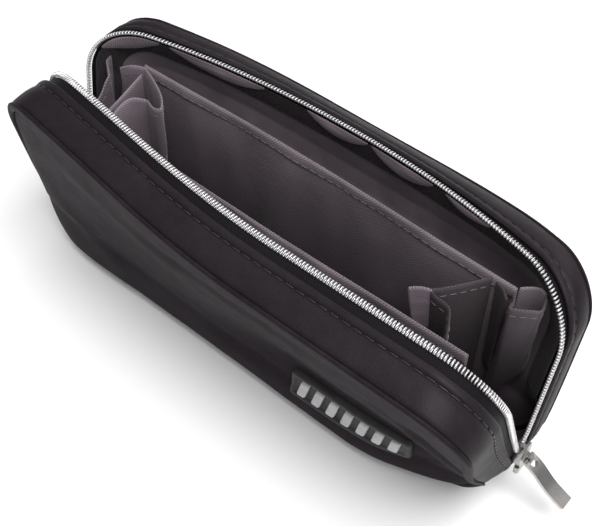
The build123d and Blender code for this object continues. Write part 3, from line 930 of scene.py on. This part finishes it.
def divider(word, y_top, y_bot, x0, x1, zt, seed):
    sgn = 1 if word == "back" else -1
    tx = np.linspace(x0, x1, 9)
    r = np.random.default_rng(seed)
    top = [(x, y_top(x), zt(x)) for x in tx]
    bot = [(x, y_bot, 3.2) for x in tx]
    nu, nq = 150, 60
    A, B = spline(top, nu), spline(bot, nu)
    q = np.linspace(0, 1, nq)
    P = A[:, None, :] * (1 - q)[None, :, None] + B[:, None, :] * q[None, :, None]
    hgt = (1 - q)[None, :]
    P[..., 1] += sgn * ((1.8 if sgn > 0 else 1.0) * np.sin(np.pi * q)[None, :] * np.sin(np.pi * (A[:, :1] - x0) / (x1 - x0)))
    P[..., 1] += 0.55 * noise2(A[:, :1], q[None, :] * 70, seed, 18) * np.sin(np.pi * np.clip(q * 1.0, 0, 1))[None, :]
    for xc, am, wd, sl in ((-56, -0.8, 5, 0.10), (-34, 1.3, 7, 0.22), (-8, -1.1, 6, -0.20), (12, 1.2, 6, 0.10),
                           (30, 0.9, 8, 0.30), (52, -0.9, 6, -0.35)):
        P[..., 1] += sgn * am * np.exp(-((A[:, :1] - xc - sl * 70 * q[None, :]) / wd) ** 2) * np.clip(np.sin(np.pi * q), 0, 1)[None, :] ** 0.7
    ob = slab(f"{word}_divider_cloth", P, 0.65, M_LINING, "lining_grey")
    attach(ob, "base")
    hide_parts(f"{word}_divider")
    # folded hem on both sides of the top edge and its stitches
    H = []
    prof = [(0.55, 4.6), (0.62, 3.6), (0.66, 2.2), (0.62, 0.8), (0.42, 0.1), (0, -0.22), (-0.42, 0.1), (-0.62, 0.8), (-0.66, 2.2), (-0.62, 3.6), (-0.55, 4.6)]
    st = P[:, 1] - P[:, 0]
    st = st / np.linalg.norm(st, axis=1, keepdims=True)
    tn = np.gradient(A, axis=0)
    tn /= np.linalg.norm(tn, axis=1, keepdims=True)
    nn = np.cross(tn, st)
    nn /= np.linalg.norm(nn, axis=1, keepdims=True)
    Hm = np.stack([A + nn * o + st * dn for o, dn in prof], 1)
    hem = sweep(f"{word}_divider_hem", Hm, M_LINING, "lining_grey", closed_s=False)
    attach(hem, "base")
    row = A + st * 3.7 - nn * 0.66
    if (row[:, 1].mean() > (A + st * 3.7)[:, 1].mean()):
        row = A + st * 3.7 + nn * 0.66
    sr = stitch_row(f"{word}_divider_stitch", row[3:-3], nn.mean(0))
    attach(sr, "base")
    row2 = A + st * 3.7 + nn * 0.66 if (A + nn)[:, 1].mean() > A[:, 1].mean() else A + st * 3.7 - nn * 0.66
    sr2 = stitch_row(f"{word}_divider_stitch_outer", row2[3:-3], nn.mean(0))
    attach(sr2, "base")
    return ob


# each soft piece and the stitch rows sewn to it
strips = {}


# fold strips between the dividers, and the little pockets at both ends
def soft_piece(name, top, bottom, node=None, **kw):
    ob = cloth(name, top, bottom, **kw)
    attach(ob, "base")
    strips[name] = (ob, [])
    if node:
        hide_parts(node)
        # the hem's stitches, on both faces of the cloth
        n = kw.get("n", 80)
        A, B = spline(top, n), spline(bottom, n)
        st = (B - A) / np.linalg.norm(B - A, axis=1, keepdims=True)
        tn = np.gradient(A, axis=0)
        tn /= np.linalg.norm(tn, axis=1, keepdims=True)
        nn = np.cross(tn, st)
        nn /= np.linalg.norm(nn, axis=1, keepdims=True)
        for k, sg in enumerate((-1, 1)):
            row = A + st * 3.4 + sg * (nn * 0.42)
            stitches = stitch_row(f"{name}_stitch_{k + 1}", row[3:-3], nn.mean(0), pitch=3.2, length=2.1, r=0.15)
            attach(stitches, "base")
            strips[name][1].append(stitches)
    return ob


# right end: the gusset and its fold wear the painted-shade lining and the pleat the half-shade one, for the shade the
# lamps leave there
soft_piece("right_gusset_cloth",
           [(73.5, 15.2, 78.2), (69, 8, 78.4), (64.5, 1.5, 78.6), (62.4, -1.4, 78.8), (64.6, -2.4, 78.8), (70, -3.2, 78.6), (73, -7, 78.4), (76, -12.5, 78)],
           [(74, 12.5, 5), (69, 7, 5), (65.5, 2.0, 5), (64, -0.6, 5), (66.5, -1.8, 5), (70, -4, 5), (74, -8, 5), (78, -12.5, 5)],
           node="right_gusset", n=110, seed=2, waves=0.5, mat=M_LINING_PAINTED_SHADE)
soft_piece("right_gusset_strip",
           [(62.6, -1.6, 79.2), (60.4, -2.6, 79.5), (58.0, -4.0, 79.2), (56.6, -5.0, 78.7)],
           [(64.0, -1.6, 62), (62.4, -2.6, 61.5), (60.6, -3.6, 61.2), (59.4, -4.4, 61)],
           n=24, m=20, seed=3, waves=0.25, t=0.9)
soft_piece("right_end_pleat_cloth",
           [(82.0, 14.5, 78.6), (84.0, 11.0, 79.0), (84.4, 8.0, 79.2), (86.8, 8.9, 79.3), (89.6, 10.8, 79.3), (92.2, 13.2, 79.0), (91.6, 16.5, 79.0), (90.0, 19.6, 78.8)],
           [(80.0, 14.0, 16), (79.6, 13.2, 16), (79.2, 12.2, 17), (82.0, 12.6, 24), (86.0, 13.4, 34), (90.4, 14.4, 44), (90.6, 16.5, 46), (90.0, 18.4, 46)],
           node="right_end_pleat", n=110, seed=5, waves=0.25, mat=M_LINING_PAINTED_HALF_SHADE)
soft_piece("right_end_pocket_back",
           [(90.0, 19.7, 78.8), (87.6, 20.2, 79.1), (84.8, 18.6, 79.1), (82.6, 16.6, 78.9)],
           [(89.5, 17.4, 30), (87.0, 17.6, 28), (84.5, 16.8, 26), (82.0, 15.4, 22)], n=36, seed=6, waves=0.3)
soft_piece("right_end_fold",
           [(75.5, 15.0, 77.6), (79.0, 12.6, 79.2), (81.4, 10.8, 78.6), (80.0, 13.2, 76.8), (78.8, 16.0, 76.2)],
           [(77.0, 13.6, 40), (79.0, 12.4, 40), (80.0, 11.8, 40), (79.5, 13.4, 40), (79.0, 14.6, 40)], n=60, seed=7, waves=0.2, mat=M_LINING_PAINTED_SHADE)
# left end
soft_piece("left_gusset_cloth",
           [(-85.6, 10.4, 77.4), (-81.2, 12.6, 79.4), (-76.8, 14.8, 79.2), (-76.6, 14.6, 79.2), (-70, 12.0, 79.2), (-62.4, 8.2, 78.2), (-59.2, 4.6, 77.0), (-61.6, 3.4, 76.6), (-66.4, 5.0, 76.4)],
           [(-84.5, 10.4, 5), (-81, 12.2, 5), (-77.4, 13.4, 5), (-76.8, 13.3, 5), (-70, 10.5, 5), (-65, 7.6, 5), (-63, 5.2, 5), (-64.4, 4.4, 5), (-67, 4.4, 5)],
           node="left_gusset", n=130, seed=8, waves=0.4)
soft_piece("left_front_panel",
           [(-66.2, 5.0, 76.4), (-68.6, 3.0, 77.4), (-70.4, 0.6, 77.8), (-70.2, -4, 78.0), (-68.6, -9, 78.2), (-67, -12.6, 78.2)],
           [(-67, 4.0, 5), (-69, 2.0, 5), (-70.6, 0, 5), (-70.6, -4, 5), (-69.4, -9, 5), (-68, -12.6, 5)], n=90, seed=9, waves=0.4)
soft_piece("left_end_pleat_cloth",
           [(-97.5, 16, 73), (-95.6, 12.6, 74), (-91.8, 9.6, 74.6), (-89.4, 7.8, 74), (-88.6, 4.6, 72), (-88.2, 1.6, 69), (-87.6, -2.8, 67)],
           [(-97, 13.5, 18), (-95, 11, 16), (-92, 9, 15), (-90, 7.4, 15), (-89, 4.2, 15), (-88.4, 1.0, 15), (-87.8, -2.8, 15)],
           node="left_end_pleat", n=90, seed=10, waves=0.5)
soft_piece("left_front_fold",
           [(-76.8, 12.4, 77.5), (-76.2, 8.6, 77.2), (-75.4, 3.0, 76.4), (-74.6, -3.0, 75.6), (-74.0, -8.6, 75)],
           [(-77.4, 11.6, 12), (-77, 8, 12), (-76.4, 3.0, 12), (-75.4, -3.0, 12), (-74.4, -8.6, 12)], n=60, seed=12, waves=0.4)
soft_piece("left_side_flap",
           [(-100.0, -4, 69), (-97.4, -6.8, 74.5), (-92.6, -8.6, 76), (-88.6, -10.6, 73.5), (-85.6, -12.6, 69)],
           [(-99, -4, 30), (-97, -6.6, 28), (-93, -8.2, 28), (-89, -9.6, 28), (-86, -11, 28)], n=60, seed=13, waves=0.4)


divider("back", lambda x: 15.4 + 2.4 * math.exp(-((x + 5) / 60) ** 2), 12.6, -78.0, 82.0, lambda x: 79.2 - 0.8 * math.exp(-((x - 10) / 50) ** 2), 41)
divider("front", lambda x: -12.9 - 0.5 * math.exp(-((x - 5) / 60) ** 2), -12.6, -78.0, 84.0, lambda x: 77.2 - 0.9 * math.exp(-((x) / 50) ** 2), 43)

strips["right_gusset_cloth"][1].append(strips["right_gusset_strip"][0])       # sewn to it

# ------------------------------------------------------------------ badge
BU, BZC, BROT = 50.3, 28.6, math.radians(1.5)
BL, BH = 50.0, 11.0
tab_z = np.linspace(5, 60, 200)
col = place(-1, BU, tab_z, face_w(-1, BU, tab_z))
tab_a = arc(col)
A0 = np.interp(BZC, tab_z, tab_a)


def on_face(a, b, h):
    """Point of the badge: a along it, b up it, h off the face."""
    ca, sa = math.cos(BROT), math.sin(BROT)
    u = BU + a * ca - b * sa
    zc = np.interp(A0 + a * sa + b * ca, tab_a, tab_z)
    return place(-1, u, zc, smooth_face(u, zc) + h)


def smooth_face(u, zc):
    """The face with its finest creases left out, so that the badge lies flat."""
    out = 0
    for du, dz in ((0, 0), (6, 0), (-6, 0), (0, 3), (0, -3)):
        out = out + face_w(-1, u + du, zc + dz)
    return out / 5 + 0.35


def badge_profile(d):
    """Height of the badge at distance d inside its edge."""
    return np.interp(d, [0, 0.25, 0.6, 1.5, 1.9, 2.3, 100], [0.9, 1.35, 1.6, 1.6, 1.35, 1.0, 1.0])


def badge_grid():
    na, nb = 150, 60
    a1 = np.linspace(-1, 1, na)
    b1 = np.linspace(-1, 1, nb)
    a1, b1 = np.sign(a1) * np.abs(a1) ** 0.8, np.sign(b1) * np.abs(b1) ** 0.8
    A, B = np.meshgrid(a1 * BL / 2, b1 * BH / 2, indexing="ij")
    r = 1.6   # rounded corners by pulling the corner points in
    qx, qz = np.abs(A) - BL / 2 + r, np.abs(B) - BH / 2 + r
    m = (qx > 0) & (qz > 0)
    mx = np.maximum(qx, qz)
    hyp = np.maximum(np.hypot(qx, qz), 1e-9)
    k = np.where(m, mx / hyp, 1)
    A2 = np.where(m, np.sign(A) * (BL / 2 - r + qx * k), A)
    B2 = np.where(m, np.sign(B) * (BH / 2 - r + qz * k), B)
    qx, qz = np.abs(A2) - BL / 2 + r, np.abs(B2) - BH / 2 + r
    d = r - (np.hypot(np.maximum(qx, 0), np.maximum(qz, 0)) + np.minimum(np.maximum(qx, qz), 0))
    return A2, B2, np.maximum(d, 0)


A, B, D = badge_grid()
topP = on_face(A, B, badge_profile(D))
botP = on_face(A, B, -0.5 + 0 * D)
n, m = A.shape
fa, _ = quads(n, m)
rim = [(i, 0) for i in range(n)] + [(n - 1, j) for j in range(1, m)] + [(i, m - 1) for i in range(n - 2, -1, -1)] + [(0, j) for j in range(m - 2, 0, -1)]
idx = np.array([i * m + j for i, j in rim])
an = np.roll(idx, -1)
faces = np.concatenate([fa, fa[:, ::-1] + n * m, np.stack([an, idx, idx + n * m, an + n * m], 1)])
bd = build("badge_plate", np.concatenate([topP.reshape(-1, 3), botP.reshape(-1, 3)]), faces, M_BADGE, "badge_rubber", sharp=50)
follow(bd, -1)

# plain slanting bars on the badge
V, F = [], []
for kx in np.linspace(-19.2, 19.2, 7):
    tall, wide, slant = 6.6, 3.6, 0.22
    rr = 0.75
    ring_pts = []
    for cx, cy, a0 in ((wide / 2 - rr, tall / 2 - rr, 0), (-wide / 2 + rr, tall / 2 - rr, 90), (-wide / 2 + rr, -tall / 2 + rr, 180), (wide / 2 - rr, -tall / 2 + rr, 270)):
        for t in np.radians(np.linspace(a0, a0 + 90, 6)):
            ring_pts.append((cx + rr * math.cos(t), cy + rr * math.sin(t)))
    ring_pts = np.array(ring_pts)
    base = len(V)
    layers = [(1.0, 0.8), (1.0, 1.75), (0.94, 2.02), (0.80, 2.12)]
    for sc, h in layers:
        x = ring_pts[:, 0] - np.sign(ring_pts[:, 0]) * (1 - sc) * 1.5
        y = ring_pts[:, 1] - np.sign(ring_pts[:, 1]) * (1 - sc) * 1.5
        p = on_face(kx + x + slant * y, y, h)
        V += p.tolist()
    k = len(ring_pts)
    for i in range(len(layers) - 1):
        for j in range(k):
            j2 = (j + 1) % k
            F.append([base + i * k + j, base + i * k + j2, base + (i + 1) * k + j2, base + (i + 1) * k + j])
    F.append([base + j for j in range(k)][::-1])
    F.append([base + (len(layers) - 1) * k + j for j in range(k)])
marks = build("badge_bars", V, F, M_MARK, "badge_marks_grey", sharp=40)
follow(marks, -1)

# ------------------------------------------------------------------ slider and puller keep their CAD shape
def dress(name, mat, bevel=0.00012):
    ob = frame["nodes"][name] if isinstance(frame["nodes"], dict) else bpy.data.objects[name]
    ob.data.materials.clear()
    ob.data.materials.append(mat)
    if bevel:
        b = ob.modifiers.new("edge", "BEVEL")
        b.width = bevel
        b.segments = 3
        b.limit_method = "ANGLE"
        b.angle_limit = math.radians(35)
        b.harden_normals = False
    return ob


dress("slider_body", M_METAL, 0.0002)
dress("slider_bridge", M_METAL, 0.00015)
dress("pull_tab", M_PULL, 0.00016)
dress("right_zip_stop", M_METAL, 0.0002)
dress("left_zip_stop", M_METAL, 0.0002)

# ------------------------------------------------------------------ what stands for what
stands = {
    "front_face": ("front_face_upper", "front_face_lower"), "back_face": ("back_face_upper", "back_face_lower"),
    "front_band": ("front_gusset_band",), "back_band": ("back_gusset_band",),
    "front_welt": ("front_seam_welt", "front_welt_lower"), "back_welt": ("back_seam_welt", "back_welt_lower"),
    "front_tape": ("front_zip_tape",), "back_tape": ("back_zip_tape",),
    "front_coil": ("front_zip_coil",), "back_coil": ("back_zip_coil",),
    "front_lining": ("front_lining",), "back_lining": ("back_lining",),
    "badge": ("badge_base",), "marks": ("badge_marks",),
}
for key, nodes in stands.items():
    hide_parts(*nodes)

# ------------------------------------------------------------------ studio
bpy.ops.mesh.primitive_plane_add(size=6, location=(0, 0, -0.0003))
floor = bpy.context.object
floor.name = "studio_floor"
fm = Nodes("floor_white")
fm.b.inputs["Base Color"].default_value = (0.90, 0.90, 0.90, 1)
fm.b.inputs["Roughness"].default_value = 0.9
floor.data.materials.append(fm.mat)

world = bpy.context.scene.world or bpy.data.worlds.new("world")
bpy.context.scene.world = world
world.use_nodes = True
bg = world.node_tree.nodes.get("Background") or world.node_tree.nodes.new("ShaderNodeBackground")
bg.inputs["Strength"].default_value = 1.0
wt = world.node_tree
geo = wt.nodes.new("ShaderNodeTexCoord")
sep = wt.nodes.new("ShaderNodeSeparateXYZ")
wr = wt.nodes.new("ShaderNodeValToRGB")
wt.links.new(geo.outputs["Generated"], sep.inputs[0])
wt.links.new(sep.outputs[2], wr.inputs["Fac"])
wr.color_ramp.elements[0].position = 0.0
wr.color_ramp.elements[0].color = (0.05, 0.05, 0.05, 1)
wr.color_ramp.elements[1].position = 0.9
wr.color_ramp.elements[1].color = (0.80, 0.80, 0.80, 1)
wt.links.new(wr.outputs["Color"], bg.inputs["Color"])
bpy.context.scene.view_settings.view_transform = "Standard"
bpy.context.scene.view_settings.look = "None"


def area(name, loc, target, size, power, colour=(1, 1, 1)):
    l = bpy.data.lights.new(name, "AREA")
    l.shape = "RECTANGLE"
    l.size, l.size_y = size
    l.energy = power
    l.color = colour
    o = bpy.data.objects.new(name, l)
    bpy.context.scene.collection.objects.link(o)
    o.location = loc
    o.rotation_mode = "QUATERNION"
    o.rotation_quaternion = (Vector(target) - Vector(loc)).to_track_quat("-Z", "Y")
    return o


area("key_light", (0.36, -0.14, 0.98), (0, 0, 0.04), (0.5, 0.5), 9.0)
area("side_light", (0.75, -0.25, 0.55), (0, 0, 0.04), (0.5, 0.5), 0.8)
area("back_light", (0.15, 0.80, 0.60), (0, 0, 0.05), (0.9, 0.4), 3.0)
area("front_light", (0.05, -0.95, 0.30), (0, 0, 0.03), (0.8, 0.4), 0.1)

# camera
back = Vector((0.4130, -0.4890, 0.7683)).normalized()
right = Vector((0.7640, 0.6452, 0.0)).normalized()
up = back.cross(right)
pos = Vector((0, 0, 0.026)) + back * 0.4004 + right * 0.008229 + up * 0.010304
cam = bpy.data.cameras.new("camera")
cam.sensor_width = 36.0
cam.sensor_fit = "HORIZONTAL"
cam.lens = 1101.1 / 608 * 36
cam.clip_start = 0.01
cam.clip_end = 20
co = bpy.data.objects.new("camera", cam)
bpy.context.scene.collection.objects.link(co)
co.matrix_world = Matrix(((right.x, up.x, back.x, pos.x), (right.y, up.y, back.y, pos.y), (right.z, up.z, back.z, pos.z), (0, 0, 0, 1)))
bpy.context.scene.camera = co
